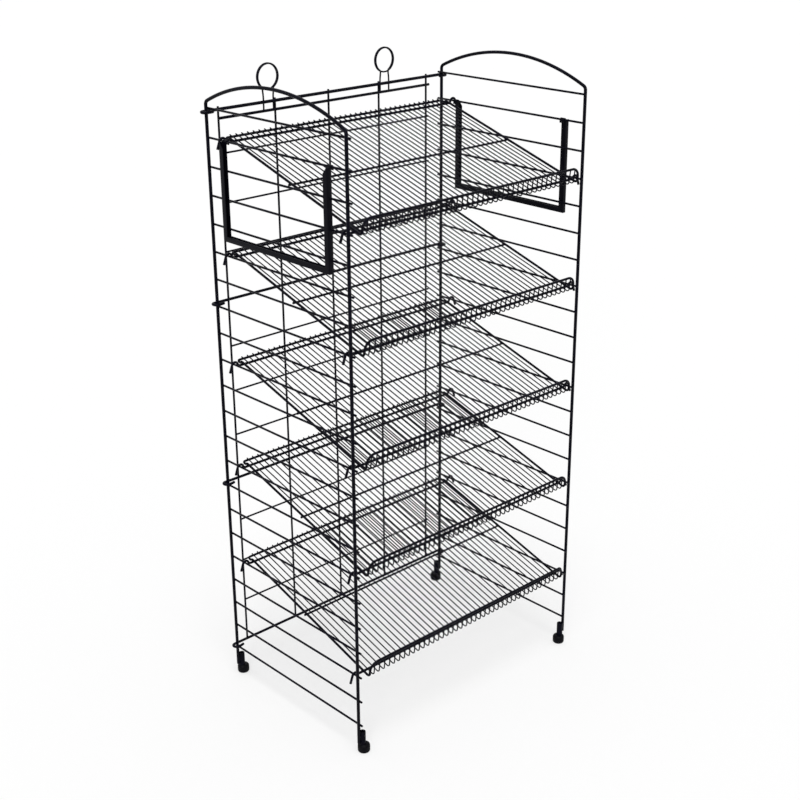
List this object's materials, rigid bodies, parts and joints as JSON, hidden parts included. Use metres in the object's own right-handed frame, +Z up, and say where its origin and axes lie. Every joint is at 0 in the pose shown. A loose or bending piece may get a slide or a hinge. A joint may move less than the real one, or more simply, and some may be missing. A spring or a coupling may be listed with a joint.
{
  "type": "bread rack",
  "caption": "Free-standing wire bread rack with arched side frames, sloping lift-off shelves, sign holders and sign rings.",
  "frame": {"origin": "on the floor, in the middle between the four uprights", "axes": "+X to the right seen from the front, +Y from the front to the back panel, +Z up"},
  "size_m": [0.621, 0.415, 1.2607],
  "materials": {
    "coated_wire": "semi-gloss black powder coat on steel wire",
    "coated_sheet": "semi-gloss black powder coat on folded steel sheet",
    "foot_rubber": "matt black moulded rubber"
  },
  "bodies": {
    "rack_frame": {"left_frame_rod": "coated_wire", "left_rungs": "coated_wire", "right_frame_rod": "coated_wire", "right_rungs": "coated_wire", "front_left_socket_tube": "coated_wire", "front_left_rubber_foot": "foot_rubber", "front_right_socket_tube": "coated_wire", "front_right_rubber_foot": "foot_rubber", "rear_left_socket_tube": "coated_wire", "rear_left_rubber_foot": "foot_rubber", "rear_right_socket_tube": "coated_wire", "rear_right_rubber_foot": "foot_rubber", "back_hook_bar_1": "coated_wire", "back_hook_bar_2": "coated_wire", "back_hook_bar_3": "coated_wire", "back_hook_bar_4": "coated_wire", "back_sign_rail": "coated_wire", "back_cross_wires": "coated_wire", "back_upright_wires": "coated_wire", "left_sign_ring": "coated_wire", "right_sign_ring": "coated_wire"},
    "shelf_1": {"shelf_1_rim_rod": "coated_wire", "shelf_1_front_hook_rod": "coated_wire", "shelf_1_rear_hook_rod": "coated_wire", "shelf_1_mid_rod": "coated_wire", "shelf_1_deck_wires": "coated_wire", "shelf_1_lip_wires": "coated_wire"},
    "shelf_2": {"shelf_2_rim_rod": "coated_wire", "shelf_2_front_hook_rod": "coated_wire", "shelf_2_rear_hook_rod": "coated_wire", "shelf_2_mid_rod": "coated_wire", "shelf_2_deck_wires": "coated_wire", "shelf_2_lip_wires": "coated_wire"},
    "shelf_3": {"shelf_3_rim_rod": "coated_wire", "shelf_3_front_hook_rod": "coated_wire", "shelf_3_rear_hook_rod": "coated_wire", "shelf_3_mid_rod": "coated_wire", "shelf_3_deck_wires": "coated_wire", "shelf_3_lip_wires": "coated_wire"},
    "shelf_4": {"shelf_4_rim_rod": "coated_wire", "shelf_4_front_hook_rod": "coated_wire", "shelf_4_rear_hook_rod": "coated_wire", "shelf_4_mid_rod": "coated_wire", "shelf_4_deck_wires": "coated_wire", "shelf_4_lip_wires": "coated_wire"},
    "shelf_5": {"shelf_5_rim_rod": "coated_wire", "shelf_5_front_hook_rod": "coated_wire", "shelf_5_rear_hook_rod": "coated_wire", "shelf_5_mid_rod": "coated_wire", "shelf_5_deck_wires": "coated_wire", "shelf_5_lip_wires": "coated_wire"},
    "left_sign_holder": {"left_sign_holder": "coated_sheet"},
    "right_sign_holder": {"right_sign_holder": "coated_sheet"}
  },
  "joints": [
    {"name": "shelf_1_lift", "type": "slide", "parent": "rack_frame", "child": "shelf_1", "axis": [0, 0, 1], "range_m": [0, 0.025]},
    {"name": "shelf_2_lift", "type": "slide", "parent": "rack_frame", "child": "shelf_2", "axis": [0, 0, 1], "range_m": [0, 0.025]},
    {"name": "shelf_3_lift", "type": "slide", "parent": "rack_frame", "child": "shelf_3", "axis": [0, 0, 1], "range_m": [0, 0.025]},
    {"name": "shelf_4_lift", "type": "slide", "parent": "rack_frame", "child": "shelf_4", "axis": [0, 0, 1], "range_m": [0, 0.025]},
    {"name": "shelf_5_lift", "type": "slide", "parent": "rack_frame", "child": "shelf_5", "axis": [0, 0, 1], "range_m": [0, 0.025]},
    {"name": "left_sign_holder_swing", "type": "hinge", "parent": "rack_frame", "child": "left_sign_holder", "pos_m": [-0.29395, 0, 1.142], "axis": [0, 1, 0], "range_deg": [0, 75]},
    {"name": "right_sign_holder_swing", "type": "hinge", "parent": "rack_frame", "child": "right_sign_holder", "pos_m": [0.29395, 0, 1.142], "axis": [0, -1, 0], "range_deg": [0, 75]}
  ]
}
